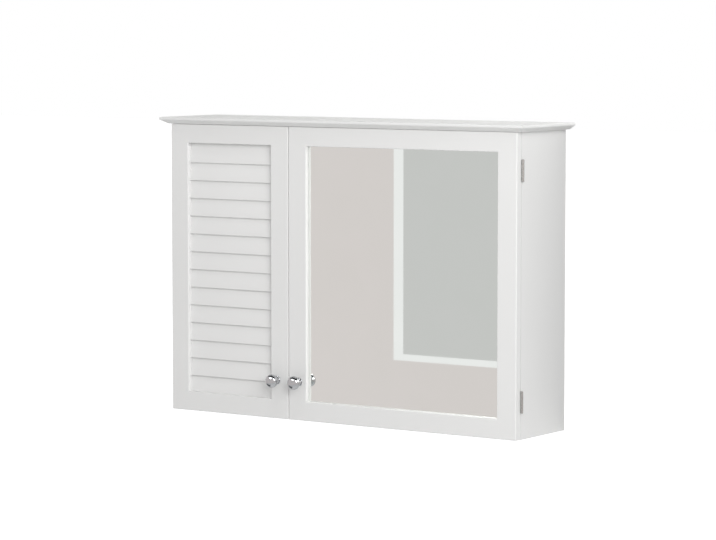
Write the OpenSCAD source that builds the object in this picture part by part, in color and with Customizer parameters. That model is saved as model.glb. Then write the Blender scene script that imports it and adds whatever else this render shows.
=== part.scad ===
// Bathroom wall cabinet with a louvred door and a mirror door, in millimetres.
// Origin: the middle of the line of wall screws, on the plane of the wall.
// +X points right, +Y into the wall and +Z up, so the doors face -Y.
// Inside the modules heights are counted from the underside of the cabinet.

/* [Carcass] */
// Width over the two side panels
body_w = 762; // [700:1:900]
// Height of the side panels, up to the underside of the top board
body_h = 541.5; // [500:0.5:640]
// Depth of the side panels, from the wall to their front edges
body_d = 152; // [130:1:200]
// Thickness of the sides, bottom and partition
panel_t = 12; // [11:0.5:16]
// Thickness of the hardboard back
back_t = 3; // [2:0.5:4]
// Width of the rebate in the panels that the back is let into
back_rebate_w = 6; // [4:0.5:8]

/* [Top board] */
// Thickness of the top board
top_t = 12.5; // [12:0.5:20]
// Overhang of the top board past each side panel
top_side_over = 19; // [17:1:30]
// Overhang of the top board past the faces of the doors
top_front_over = 12; // [8:1:20]
// Height of the upright nose of the moulded edge
top_nose_h = 5; // [4.5:0.5:8]
// Width of the sloping underside of the moulded edge
top_slope_w = 12; // [10:1:17]
// Radius on the two arrises of the nose
top_nose_r = 1.8; // [1:0.1:2]

/* [Doors] */
// Width of the louvred door
louvre_door_w = 271; // [240:0.5:320]
// Thickness of the door frames
door_t = 15; // [15:0.5:18]
// Gap between the two doors
door_gap = 1; // [0.8:0.1:4]
// Gap between the backs of the doors and the carcass
joint_gap = 1; // [0.8:0.1:1.5]
// Gap between the doors and the top board
door_top_gap = 0.5; // [0.5:0.1:4]
// Height of the doors' lower edges above the underside of the carcass
door_bottom_gap = 0.5; // [0:0.5:3]
// Width of the door stiles
stile_w = 39.5; // [34:0.5:50]
// Width of the top rails
top_rail_w = 35; // [30:0.5:50]
// Width of the bottom rails
bottom_rail_w = 36; // [32:0.5:50]
// Radius that eases the front arrises of the door frames
ease_r = 1.5; // [0.8:0.1:2]
// Length of the tenons on the rails
tenon_l = 14; // [8:1:20]
// Thickness of the tenons
tenon_t = 5; // [4:0.5:6]
// Shoulder above and below each tenon
tenon_shoulder = 7; // [7:0.5:9]

/* [Louvre slats] */
// Number of slats in the louvred door
slat_count = 14; // [14]
// Thickness of a slat
slat_t = 4; // [3:0.1:4.3]
// Height by which each slat hangs over the one below
slat_lap = 3; // [2:0.1:3.5]
// Gap between one slat and the next, square to their faces
slat_clear = 0.35; // [0.2:0.05:0.5]
// Depth of the slats' noses behind the face of the door
slat_recess = 6; // [4:0.1:6.5]
// Depth of the housings in the stiles that hold the slats' ends
housing_d = 6; // [4:0.5:10]

/* [Mirror] */
// Depth of the mirror behind the face of the door
mirror_recess = 8; // [6:0.5:8]
// Thickness of the mirror glass
mirror_t = 4; // [3:0.5:4]
// Thickness of the hardboard behind the mirror
backing_t = 3; // [2:0.5:3]
// Width of the rebate that holds the mirror
mirror_rebate_w = 6; // [5:0.5:6.5]
// Gap round the edges of the mirror in its rebate
mirror_edge_gap = 0.8; // [0.5:0.1:1.5]
// Length of a clip that holds the backing
clip_l = 15; // [13:1:18]
// Width of a clip
clip_w = 9; // [8:1:12]
// Thickness of a clip
clip_t = 0.8; // [0.6:0.1:1.2]

/* [Hinges] */
// Length of a butt hinge
hinge_l = 38; // [32:1:50]
// Distance from a door's end to the middle of its hinge
hinge_inset = 67; // [50:1:100]
// Width of a leaf where it lies on the wood
leaf_w = 10; // [9:0.5:10.5]
// Thickness of a leaf
leaf_t = 0.9; // [0.7:0.1:1]
// Gap between the two leaves of a closed hinge
leaf_gap = 0.2; // [0.1:0.1:0.3]
// Radius of the knuckles
knuckle_r = 2.5; // [2.2:0.1:3]
// Gap between the knuckles and the side of the cabinet
knuckle_gap = 0.3; // [0.2:0.1:0.6]
// Radius of the hinge pin
pin_r = 1.2; // [1:0.05:1.4]
// Radial clearance of the pin in its knuckles
pin_clear = 0.05; // [0.02:0.01:0.1]
// Number of knuckles in a hinge
knuckle_count = 5; // [3:2:7]

/* [Knobs] */
// Height of the knobs above the underside of the carcass
knob_z = 72; // [65:1:300]
// Distance from the louvred door's meeting edge to the middle of its knob
louvre_knob_inset = 26; // [18:0.5:28]
// Distance from the mirror door's meeting edge to the middle of its knob
mirror_knob_inset = 23; // [18:0.5:28]
// Diameter of a knob's head
knob_d = 25; // [20:1:30]
// Diameter of a knob's foot
knob_foot_d = 16; // [12:1:20]
// Diameter of a knob's neck at its narrowest
knob_neck_d = 9; // [8:0.5:12]
// Distance that a knob stands out from the door
knob_l = 25; // [22:1:32]
// Distance from the door to the widest ring of a knob's head
knob_rim_l = 16; // [14:0.5:19]
// Distance from the door to the underside of a knob's head
knob_under_l = 11.5; // [10:0.5:12]
// Diameter where a knob's neck flares into its head
knob_flare_d = 17; // [14:0.5:18]

/* [Magnetic catches] */
// Length of a catch, along the door
catch_l = 32; // [28:1:34]
// Depth of a catch
catch_d = 14; // [12:1:18]
// Height of a catch
catch_h = 12; // [10:1:14]
// Distance from the partition to a catch
catch_offset = 3; // [2:0.5:4]
// Gap between the magnet and the strike plate
catch_gap = 0.3; // [0.2:0.1:0.4]
// Length of a strike plate
strike_l = 24; // [20:1:26]
// Width of a strike plate
strike_w = 12; // [10:0.5:13]
// Thickness of a strike plate
strike_t = 0.9; // [0.7:0.1:0.9]

/* [Shelves] */
// Thickness of a shelf
shelf_t = 12; // [9:0.5:16]
// Distance from the front of the carcass to the front of a shelf
shelf_setback = 16; // [12:1:40]
// Gap at each end of a shelf
shelf_end_gap = 0.5; // [0.3:0.1:1]
// Height of the lower shelves' underside above the floor of the cabinet
lower_shelf_z = 166; // [110:1:190]
// Height of the upper shelves' underside above the floor of the cabinet
upper_shelf_z = 342; // [300:1:380]
// Spacing of the pin holes, one above the other
hole_pitch = 32; // [25:1:40]
// Radius of a shelf pin
shelf_pin_r = 2.45; // [2:0.05:3]
// Radial clearance of a shelf pin in its hole
shelf_pin_clear = 0.05; // [0.03:0.01:0.1]
// Length of a shelf pin inside the panel
shelf_pin_in = 5.4; // [4:0.1:5.4]
// Length of a shelf pin under the shelf
shelf_pin_out = 8; // [6:0.5:12]
// Distance from a shelf's front and back edges to its pins
shelf_pin_inset = 22; // [15:1:40]

/* [Wall fixing] */
// Height of a hanging rail
hang_rail_h = 50; // [46:1:80]
// Thickness of a hanging rail
hang_rail_t = 12; // [10:0.5:18]
// Distance between the two wall screws
hang_spacing = 600; // [500:1:640]
// Depth of the wall screws below the underside of the top board
hang_drop = 25; // [20:1:30]
// Radius of a hole for a wall screw
hang_hole_r = 3; // [2.5:0.1:4]

/* [Joinery] */
// Radius of a cam lock
cam_r = 6; // [5:0.5:7.5]
// Depth of a cam lock in its board
cam_t = 9; // [8:0.5:10]
// Distance from a board's end to the middle of its cam lock
cam_back = 20; // [16:1:24]
// Radius of a cam bolt's shank
bolt_r = 2.2; // [1.8:0.1:2.5]
// Radius of a cam bolt's thread
bolt_thread_r = 3; // [2.5:0.1:3]
// Depth of a cam bolt's thread in the board it grips
bolt_thread_l = 8; // [6:0.5:9]
// Radius of a dowel
dowel_r = 3; // [2.5:0.1:3.5]
// Depth of a dowel in each board
dowel_in = 8; // [6:0.5:9]
// Distance from a board's front and back edges to its cam locks
cam_inset = 34; // [26:1:50]

/* [Screws] */
// Radius of a wood screw's shank
screw_r = 1.3; // [1:0.1:1.4]
// Length of a wood screw
screw_l = 9; // [7:0.5:10]
// Radius of a wood screw's head
screw_head_r = 2.4; // [2:0.1:2.8]
// Height of a round head
screw_head_h = 1.4; // [1:0.1:1.8]
// Radius of a knob's machine screw
knob_screw_r = 2; // [1.5:0.1:2]
// Radius of a machine screw's head
knob_screw_head_r = 4; // [3:0.1:4.5]
// Height of a machine screw's head
knob_screw_head_h = 2.4; // [1.8:0.1:2.8]
// Depth of a knob's machine screw in the knob
knob_screw_in = 9; // [6:0.5:12]

/* [Hidden] */

paint = [0.90, 0.90, 0.89];
hardboard = [0.46, 0.33, 0.22];
beech = [0.80, 0.65, 0.45];
steel = [0.66, 0.67, 0.68];
chrome = [0.80, 0.81, 0.83];
zinc = [0.60, 0.61, 0.60];
plastic = [0.93, 0.93, 0.92];
silvered = [0.72, 0.75, 0.76];

eps = 0.01;           // overlap that joins two forms into one solid
past = 1;             // overshoot of a cut past a face
round_fn = 48;
seat_clear = 0.05;    // clearance of a part let into wood
end_clear = 0.3;      // clearance at the end of a tenon, dowel or slat
fit_clear = 0.1;      // clearance of a tenon or slat in its housing

hang_z = body_h - hang_drop;
inner_w = body_w - 2 * panel_t;
inner_x = inner_w / 2;
side_x = body_w / 2;
front_y = -body_d;
door_back_y = front_y - joint_gap;
door_front_y = door_back_y - door_t;
back_y = -back_t;

louvre_x0 = -side_x;
louvre_x1 = louvre_x0 + louvre_door_w;
mirror_x0 = louvre_x1 + door_gap;
mirror_x1 = side_x;
partition_x = louvre_x1 + door_gap / 2;
partition_x0 = partition_x - panel_t / 2;
partition_x1 = partition_x + panel_t / 2;

door_z0 = door_bottom_gap;
door_z1 = body_h - door_top_gap;
open_z0 = door_z0 + bottom_rail_w;
open_z1 = door_z1 - top_rail_w;
open_h = open_z1 - open_z0;

// Each slat leans back just enough to pass behind the nose of the one above
slat_pitch = open_h / slat_count;
slat_tilt = asin((slat_t + slat_clear) / slat_pitch);
slat_w = slat_t + (slat_pitch + slat_lap - slat_t) / cos(slat_tilt);
slat_top_gap = 0.4;    // gap between the first slat and the top rail

top_w = body_w + 2 * top_side_over;
top_d = body_d + joint_gap + door_t + top_front_over;

hinge_axis_x = side_x + knuckle_gap + knuckle_r;
hinge_axis_y = front_y - joint_gap / 2;
knuckle_l = hinge_l / knuckle_count;
knuckle_play = 0.15;  // end play beside each knuckle
hinge_zs = [door_z0 + hinge_inset, door_z1 - hinge_inset];
pin_head_h = 0.8;      // buttons on the ends of a hinge pin
pin_head_r = knuckle_r - 0.5;
pin_head_gap = 0.1;
leaf_edge_x = -knuckle_r - knuckle_gap;
leaf_y0 = leaf_gap / 2;
leaf_y1 = leaf_y0 + leaf_t;
leaf_screw_inset = 8;  // from a leaf's end to its screw
leaf_screw_zs = [-hinge_l / 2 + leaf_screw_inset, hinge_l / 2 - leaf_screw_inset];
leaf_screw_x = leaf_edge_x - panel_t / 2;

knob_xs = [louvre_x1 - louvre_knob_inset, mirror_x0 + mirror_knob_inset];
knob_hole_clear = 0.2; // radial clearance of a knob's screw in the stile
knob_lip_r = 0.8;      // rounded edge of a knob's foot
knob_step_w = 1.6;     // step between the foot's edge and the foot of the neck
knob_foot_l = 2.4;

catch_xs = [partition_x0 - catch_offset - catch_l / 2, partition_x1 + catch_offset + catch_l / 2];
catch_z = body_h - catch_h / 2;
catch_ear_t = 3;       // ears that a catch is screwed up by
catch_ear_l = 7;
magnet_h = 6;
magnet_wall_t = 2;     // housing beside the magnet
magnet_floor_t = 2.5;  // housing under the magnet
magnet_d = 10;
strike_drop = 0.5;     // from the top of a door to its strike plate
strike_z = door_z1 - strike_w / 2 - strike_drop;
strike_screw_dx = 7;

shelf_back_gap = 1;
shelf_y0 = front_y + shelf_setback;
shelf_y1 = back_y - shelf_back_gap;
shelf_pin_ys = [shelf_y0 + shelf_pin_inset, shelf_y1 - shelf_pin_inset];
shelf_zs = [panel_t + lower_shelf_z, panel_t + upper_shelf_z];
shelf_pin_tip = 0.6;   // chamfer on a shelf pin's end
pin_drop = shelf_pin_r + shelf_pin_clear;

hang_rail_y = back_y - hang_rail_t / 2;
cam_ys = [front_y + cam_inset, back_y - cam_inset];
cam_slot_w = 1.2;      // cross slot in a cam's face
cam_slot_depth = 1;
cam_hollow = 0.4;      // clearance round a bolt's head inside its cam
bolt_head_h = 2;
bolt_head_gap = 1;     // from the middle of a cam to the end of its bolt
dowel_y = (front_y + back_y) / 2;
rail_dowel_dz = hang_rail_h / 4;

// Places of the clips along each side of the mirror, and of the hole in a clip
clip_places = [0.2, 0.8];
clip_hole_x = -clip_l / 4;

// Points of an arc round a centre, from one angle to another
function arc(c, r, from, to, steps) =
    [for (i = [0 : steps]) let (a = from + (to - from) * i / steps) c + r * [cos(a), sin(a)]];

// Moulded edge of the top board: outermost at 0, from the underside round the nose to the top
slope_a = atan((top_t - top_nose_h) / top_slope_w);
nose_low_z = top_t - top_nose_h + top_nose_r * (1 - sin(slope_a)) / cos(slope_a);
top_edge = concat(
    [[-top_slope_w, 0]],
    arc([-top_nose_r, nose_low_z], top_nose_r, slope_a - 90, 0, 5),
    arc([-top_nose_r, top_t - top_nose_r], top_nose_r, 0, 90, 6));

// Everything is drawn with heights from the underside, then hung on the wall screws
module hung() {
    translate([0, 0, -hang_z]) children();
}

// A block given by its two corners
module block(low, high) {
    translate(low) cube(high - low);
}

// A rod along Y, from one depth to another
module rod_y(x, z, y0, y1, r) {
    translate([x, y1, z]) rotate([90, 0, 0]) cylinder(r = r, h = y1 - y0, $fn = round_fn);
}

// Shapes that the top board's two outlines share: its sides are moulded, and its front
module top_side_outline() {
    polygon(concat([for (p = top_edge) [top_w / 2 + p[0], p[1]]],
        [for (i = [len(top_edge) - 1 : -1 : 0]) [-top_w / 2 - top_edge[i][0], top_edge[i][1]]]));
}

module top_front_outline() {
    polygon(concat([for (p = top_edge) [top_d + p[0], p[1]]], [[0, top_t], [0, 0]]));
}

// The two outlines meet in a mitre at each front corner
module top_board() {
    color(paint) hung() difference() {
        translate([0, 0, body_h]) intersection() {
            rotate([90, 0, 0]) linear_extrude(top_d) top_side_outline();
            translate([-top_w / 2, 0, 0]) rotate([90, 0, 90]) linear_extrude(top_w)
                mirror([1, 0]) top_front_outline();
        }
        joinery_cuts();
        catch_screw_holes();
    }
}

// Places of the cam joints: +Z runs into the board that the bolt grips, +X out of the cam's face
module at_cams() {
    for (y = cam_ys) {
        translate([-inner_x - panel_t / 2, y, body_h]) children();
        translate([inner_x + panel_t / 2, y, body_h]) rotate([0, 0, 180]) children();
        translate([partition_x, y, body_h]) children();
        translate([partition_x, y, panel_t]) rotate([180, 0, 0]) children();
        translate([-inner_x, y, panel_t / 2]) rotate([0, -90, 0]) rotate([0, 0, 180]) children();
        translate([inner_x, y, panel_t / 2]) rotate([0, 90, 0]) children();
    }
}

// Places of the dowels, each with its middle on a joint and its length along Z
module at_dowels() {
    for (x = [-inner_x - panel_t / 2, partition_x, inner_x + panel_t / 2])
        translate([x, dowel_y, body_h]) children();
    translate([partition_x, dowel_y, panel_t]) children();
    for (x = [-inner_x, inner_x])
        translate([x, dowel_y, panel_t / 2]) rotate([0, 90, 0]) children();
    for (x = [-inner_x, partition_x0])
        translate([x, hang_rail_y, body_h - hang_rail_h / 2 + rail_dowel_dz]) rotate([0, 90, 0]) children();
    for (x = [partition_x1, inner_x])
        translate([x, hang_rail_y, body_h - hang_rail_h / 2 - rail_dowel_dz]) rotate([0, 90, 0]) children();
}

// Cam: a short drum with a cross slot, hollow where it takes the bolt's head
module cam() {
    difference() {
        translate([panel_t / 2 - cam_t, 0, -cam_back]) rotate([0, 90, 0])
            cylinder(r = cam_r, h = cam_t, $fn = round_fn);
        translate([0, 0, -cam_back])
            cylinder(r = bolt_thread_r + cam_hollow, h = cam_r + past, $fn = round_fn);
        for (a = [0, 90])
            translate([panel_t / 2, 0, -cam_back]) rotate([a, 0, 0])
                cube([2 * cam_slot_depth, cam_r, cam_slot_w], center = true);
    }
}

// Bolt that a cam draws in: its head lies in the cam and its thread in the other board
module cam_bolt() {
    translate([0, 0, -cam_back + bolt_head_gap]) {
        cylinder(r = bolt_thread_r, h = bolt_head_h, $fn = round_fn);
        cylinder(r = bolt_r, h = cam_back, $fn = round_fn);
    }
    cylinder(r = bolt_thread_r, h = bolt_thread_l, $fn = round_fn);
}

module dowel() {
    ends = dowel_in - end_clear;
    translate([0, 0, -ends]) cylinder(r = dowel_r, h = 2 * ends, $fn = round_fn);
}

// Every hole that the cam joints and dowels need, cut from each board they pass
module joinery_cuts() {
    at_cams() {
        translate([panel_t / 2 - cam_t - seat_clear, 0, -cam_back]) rotate([0, 90, 0])
            cylinder(r = cam_r + seat_clear, h = cam_t + seat_clear + past, $fn = round_fn);
        translate([0, 0, -cam_back])
            cylinder(r = bolt_thread_r + seat_clear, h = cam_back + bolt_thread_l + seat_clear,
                $fn = round_fn);
    }
    at_dowels()
        translate([0, 0, -dowel_in]) cylinder(r = dowel_r + seat_clear, h = 2 * dowel_in, $fn = round_fn);
}

module cam_locks() {
    color(zinc) hung() at_cams() cam();
}

module cam_bolts() {
    color(steel) hung() at_cams() cam_bolt();
}

module dowels() {
    color(beech) hung() at_dowels() dowel();
}

// Rebate round the back edges of the carcass, which the back panel is let into
module back_rebate() {
    block([-inner_x - back_rebate_w, back_y, panel_t - back_rebate_w],
        [inner_x + back_rebate_w, past, body_h + past]);
}

module back_panel() {
    edge = back_rebate_w - end_clear;
    color(hardboard) hung() difference() {
        block([-inner_x - edge, back_y, panel_t - edge], [inner_x + edge, 0, body_h - end_clear]);
        wall_screw_holes();
    }
}

module wall_screw_holes() {
    for (x = [-hang_spacing / 2, hang_spacing / 2])
        rod_y(x, hang_z, back_y - hang_rail_t - past, past, hang_hole_r);
}

// Rows of holes that let each shelf be set one step up or down
module shelf_pin_holes(x0, x1) {
    for (y = shelf_pin_ys, z = shelf_zs, step = [-1, 0, 1])
        translate([x0, y, z - pin_drop + step * hole_pitch]) rotate([0, 90, 0])
            cylinder(r = shelf_pin_r + shelf_pin_clear, h = x1 - x0, $fn = round_fn);
}

// Leaves lie in shallow recesses in the front edge of a side panel and in the back of a door.
// Recess and screw holes of the right-hand leaves, about the pin's line; side 1 is the carcass
module leaf_cuts(side) {
    for (z = hinge_zs)
        translate([hinge_axis_x, hinge_axis_y, z]) mirror([0, side == 1 ? 0 : 1, 0]) {
            block([leaf_edge_x - leaf_w - seat_clear, -past, -hinge_l / 2 - seat_clear],
                [0, leaf_y1 + seat_clear, hinge_l / 2 + seat_clear]);
            for (dz = leaf_screw_zs)
                rod_y(leaf_screw_x, dz, 0, leaf_y0 + screw_l + end_clear, screw_r + seat_clear);
        }
}

module side_panel() {
    difference() {
        block([inner_x, front_y, 0], [side_x, 0, body_h]);
        back_rebate();
        leaf_cuts(1);
        shelf_pin_holes(inner_x - past, inner_x + shelf_pin_in + end_clear);
    }
}

module side_panel_right() {
    color(paint) hung() difference() {
        side_panel();
        joinery_cuts();
    }
}

module side_panel_left() {
    color(paint) hung() difference() {
        mirror([1, 0, 0]) side_panel();
        joinery_cuts();
    }
}

module bottom_panel() {
    color(paint) hung() difference() {
        block([-inner_x, front_y, 0], [inner_x, 0, panel_t]);
        back_rebate();
        joinery_cuts();
    }
}

module centre_partition() {
    color(paint) hung() difference() {
        block([partition_x0, front_y, panel_t], [partition_x1, back_y, body_h]);
        joinery_cuts();
        shelf_pin_holes(partition_x0 - past, partition_x1 + past);
    }
}

module hanging_rail(x0, x1) {
    color(paint) hung() difference() {
        block([x0, back_y - hang_rail_t, body_h - hang_rail_h], [x1, back_y, body_h]);
        wall_screw_holes();
        joinery_cuts();
    }
}

module hanging_rail_left() {
    hanging_rail(-inner_x, partition_x0);
}

module hanging_rail_right() {
    hanging_rail(partition_x1, inner_x);
}

module shelf(x0, x1, z) {
    color(paint) hung()
        block([x0 + shelf_end_gap, shelf_y0, z], [x1 - shelf_end_gap, shelf_y1, z + shelf_t]);
}

module shelf_left_upper() {
    shelf(-inner_x, partition_x0, shelf_zs[1]);
}

module shelf_left_lower() {
    shelf(-inner_x, partition_x0, shelf_zs[0]);
}

module shelf_right_upper() {
    shelf(partition_x1, inner_x, shelf_zs[1]);
}

module shelf_right_lower() {
    shelf(partition_x1, inner_x, shelf_zs[0]);
}

// A pin with its plug end towards +X and its shelf end towards -X
module shelf_pin() {
    shank_l = shelf_pin_out + shelf_pin_in - shelf_pin_tip;
    translate([-shelf_pin_out, 0, 0]) rotate([0, 90, 0]) {
        cylinder(r1 = shelf_pin_r - shelf_pin_tip, r2 = shelf_pin_r, h = shelf_pin_tip, $fn = round_fn);
        translate([0, 0, shelf_pin_tip]) cylinder(r = shelf_pin_r, h = shank_l, $fn = round_fn);
    }
}

module shelf_pins() {
    color(steel) hung() for (y = shelf_pin_ys, z = shelf_zs) translate([0, y, z - pin_drop]) {
        for (x = [inner_x, partition_x0]) translate([x, 0, 0]) shelf_pin();
        for (x = [-inner_x, partition_x1]) translate([x, 0, 0]) mirror([1, 0, 0]) shelf_pin();
    }
}

// Waste outside a quarter round along +Z: the corner is at the origin, the wood towards +X and +Y
module ease_cut(l) {
    linear_extrude(l) difference() {
        translate([-past, -past]) square(ease_r + past);
        translate([ease_r, ease_r]) circle(r = ease_r, $fn = round_fn);
    }
}

// Eased front arrises down both sides and along the foot of a door; its top arris, close under the
// top board, stays square
module ease_frame(x0, x1, z0, z1) {
    h = z1 - z0;
    translate([x0, door_front_y, z0]) ease_cut(h);
    translate([x1, door_front_y, z0]) mirror([1, 0, 0]) ease_cut(h);
    translate([x0, door_front_y, z0]) mirror([0, 0, 1]) rotate([0, 90, 0]) ease_cut(x1 - x0);
}

// Eased front arrises round a door's opening
module ease_opening(x0, x1) {
    translate([x0, door_front_y, open_z0]) mirror([1, 0, 0]) ease_cut(open_h);
    translate([x1, door_front_y, open_z0]) ease_cut(open_h);
    translate([x0, door_front_y, open_z1]) mirror([0, 0, 1]) rotate([0, 90, 0]) ease_cut(x1 - x0);
    translate([x0, door_front_y, open_z0]) rotate([0, 90, 0]) ease_cut(x1 - x0);
}

// Tenon of a rail, or its mortise when there is play; the rail spans z0 to z1
module tenon(x0, x1, z0, z1, play) {
    mid = door_front_y + door_t / 2;
    block([x0, mid - tenon_t / 2 - play, z0 + tenon_shoulder - play],
        [x1, mid + tenon_t / 2 + play, z1 - tenon_shoulder + play]);
}

module rail_tenons(door_x0, door_x1, z0, z1, play) {
    reach = tenon_l - end_clear + (play > 0 ? end_clear : 0);
    tenon(door_x0 + stile_w - reach, door_x1 - stile_w + reach, z0, z1, play);
}

// One stile, with the mortises for both rails
module stile(x0, door_x0, door_x1) {
    difference() {
        block([x0, door_front_y, door_z0], [x0 + stile_w, door_back_y, door_z1]);
        ease_frame(door_x0, door_x1, door_z0, door_z1);
        ease_opening(door_x0 + stile_w, door_x1 - stile_w);
        rail_tenons(door_x0, door_x1, door_z0, open_z0, fit_clear);
        rail_tenons(door_x0, door_x1, open_z1, door_z1, fit_clear);
    }
}

// One rail between the stiles, with its tenons
module rail(door_x0, door_x1, z0, z1) {
    difference() {
        block([door_x0 + stile_w, door_front_y, z0], [door_x1 - stile_w, door_back_y, z1]);
        ease_frame(door_x0, door_x1, door_z0, door_z1);
        ease_opening(door_x0 + stile_w, door_x1 - stile_w);
    }
    rail_tenons(door_x0, door_x1, z0, z1, 0);
}

// Hole through a stile for a knob's screw
module knob_hole(i) {
    rod_y(knob_xs[i], knob_z, door_front_y - past, door_back_y + past, knob_screw_r + knob_hole_clear);
}

module strike_holes(i) {
    for (dx = [-strike_screw_dx, strike_screw_dx])
        rod_y(catch_xs[i] + dx, strike_z, door_back_y - screw_l - end_clear + strike_t, door_back_y + past,
            screw_r + seat_clear);
}

// Slat section, standing on its nose at the origin and leaning back towards +Y: both edges are
// full rounds, and growth makes the housing that the slat sits in
module slat_section(growth) {
    span = slat_w - slat_t;
    rotate([0, 0, -slat_tilt]) {
        circle(r = slat_t / 2 + growth, $fn = round_fn);
        translate([0, span]) circle(r = slat_t / 2 + growth, $fn = round_fn);
        translate([-slat_t / 2 - growth, 0]) square([slat_t + 2 * growth, span]);
    }
}

// One slat or housing: the lowest one is ripped off to stand on the bottom rail
module slat_board(i, x0, x1, growth) {
    nose_y = door_front_y + slat_recess + slat_t / 2;
    top_z = open_z1 - slat_top_gap - (i - 1) * slat_pitch;
    nose_z = top_z - slat_t / 2 - (slat_w - slat_t) * cos(slat_tilt);
    floor_z = open_z0 + slat_clear - growth;
    difference() {
        translate([x0, nose_y, nose_z]) rotate([90, 0, 90]) linear_extrude(x1 - x0) slat_section(growth);
        if (i == slat_count)
            block([x0 - past, door_front_y, door_z0], [x1 + past, door_back_y + past, floor_z]);
    }
}

module slat(i) {
    reach = housing_d - end_clear;
    color(paint) hung()
        slat_board(i, louvre_x0 + stile_w - reach, louvre_x1 - stile_w + reach, 0);
}

module slat_housings() {
    for (i = [1 : slat_count])
        slat_board(i, louvre_x0 + stile_w - housing_d, louvre_x1 - stile_w + housing_d, fit_clear);
}

module louvre_stile_hinge() {
    color(paint) hung() difference() {
        stile(louvre_x0, louvre_x0, louvre_x1);
        slat_housings();
        mirror([1, 0, 0]) leaf_cuts(0);
    }
}

module louvre_stile_knob() {
    color(paint) hung() difference() {
        stile(louvre_x1 - stile_w, louvre_x0, louvre_x1);
        slat_housings();
        knob_hole(0);
        strike_holes(0);
    }
}

// One screw of each strike plate also pins the tenon behind it
module louvre_rail_top() {
    color(paint) hung() difference() {
        rail(louvre_x0, louvre_x1, open_z1, door_z1);
        strike_holes(0);
    }
}

module louvre_rail_bottom() {
    color(paint) hung() rail(louvre_x0, louvre_x1, door_z0, open_z0);
}

module slat_01() slat(1);
module slat_02() slat(2);
module slat_03() slat(3);
module slat_04() slat(4);
module slat_05() slat(5);
module slat_06() slat(6);
module slat_07() slat(7);
module slat_08() slat(8);
module slat_09() slat(9);
module slat_10() slat(10);
module slat_11() slat(11);
module slat_12() slat(12);
module slat_13() slat(13);
module slat_14() slat(14);

// Rebate in the back of the mirror door's frame
module mirror_rebate() {
    block([mirror_x0 + stile_w - mirror_rebate_w, door_front_y + mirror_recess, open_z0 - mirror_rebate_w],
        [mirror_x1 - stile_w + mirror_rebate_w, door_back_y + past, open_z1 + mirror_rebate_w]);
}

// A sheet that lies in the rebate, from one depth behind the door's face to another
module rebate_sheet(d0, d1) {
    edge = mirror_rebate_w - mirror_edge_gap;
    block([mirror_x0 + stile_w - edge, door_front_y + d0, open_z0 - edge],
        [mirror_x1 - stile_w + edge, door_front_y + d1, open_z1 + edge]);
}

module mirror_glass() {
    color(silvered) hung() rebate_sheet(mirror_recess, mirror_recess + mirror_t);
}

module mirror_backing() {
    color(hardboard) hung() rebate_sheet(mirror_recess + mirror_t, mirror_recess + mirror_t + backing_t);
}

// Places of the clips: the origin is on the edge of the rebate, +X points at the mirror
module at_clips() {
    y = door_back_y;
    x0 = mirror_x0 + stile_w - mirror_rebate_w;
    x1 = mirror_x1 - stile_w + mirror_rebate_w;
    for (f = clip_places) {
        z = open_z0 + f * open_h;
        x = x0 + f * (x1 - x0);
        translate([x0, y, z]) children();
        translate([x1, y, z]) mirror([1, 0, 0]) children();
        translate([x, y, open_z0 - mirror_rebate_w]) rotate([0, -90, 0]) children();
        translate([x, y, open_z1 + mirror_rebate_w]) rotate([0, 90, 0]) children();
    }
}

module backing_clips() {
    color(steel) hung() at_clips() difference() {
        block([-clip_l / 2, 0, -clip_w / 2], [clip_l / 2, clip_t, clip_w / 2]);
        rod_y(clip_hole_x, 0, -past, clip_t + past, screw_r + seat_clear);
    }
}

module clip_screw_holes() {
    at_clips() rod_y(clip_hole_x, 0, -screw_l, past, screw_r + seat_clear);
}

module mirror_stile_knob() {
    color(paint) hung() difference() {
        stile(mirror_x0, mirror_x0, mirror_x1);
        mirror_rebate();
        clip_screw_holes();
        knob_hole(1);
        strike_holes(1);
    }
}

module mirror_stile_hinge() {
    color(paint) hung() difference() {
        stile(mirror_x1 - stile_w, mirror_x0, mirror_x1);
        mirror_rebate();
        clip_screw_holes();
        leaf_cuts(0);
    }
}

module mirror_rail_top() {
    color(paint) hung() difference() {
        rail(mirror_x0, mirror_x1, open_z1, door_z1);
        mirror_rebate();
        clip_screw_holes();
        strike_holes(1);
    }
}

module mirror_rail_bottom() {
    color(paint) hung() difference() {
        rail(mirror_x0, mirror_x1, door_z0, open_z0);
        mirror_rebate();
        clip_screw_holes();
    }
}

// A countersunk screw that points along +Y, with its head's face at the origin
module sunk_screw() {
    rotate([-90, 0, 0]) {
        cylinder(r1 = screw_head_r, r2 = screw_r, h = leaf_t, $fn = round_fn);
        cylinder(r = screw_r, h = screw_l, $fn = round_fn);
    }
}

// A screw with a domed head that points along -Y, with its head's underside at the origin
module round_screw(r, l, head_r, head_h) {
    ball_r = (head_r * head_r + head_h * head_h) / (2 * head_h);
    reach_a = asin(head_r / ball_r);
    rotate([90, 0, 0]) rotate_extrude($fn = round_fn) polygon(concat(
        [[0, l], [r, l], [r, 0], [head_r, 0]],
        [for (i = [7 : -1 : 0]) ball_r * [sin(reach_a * i / 8), 1 - cos(reach_a * i / 8)] - [0, head_h]]));
}

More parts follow.
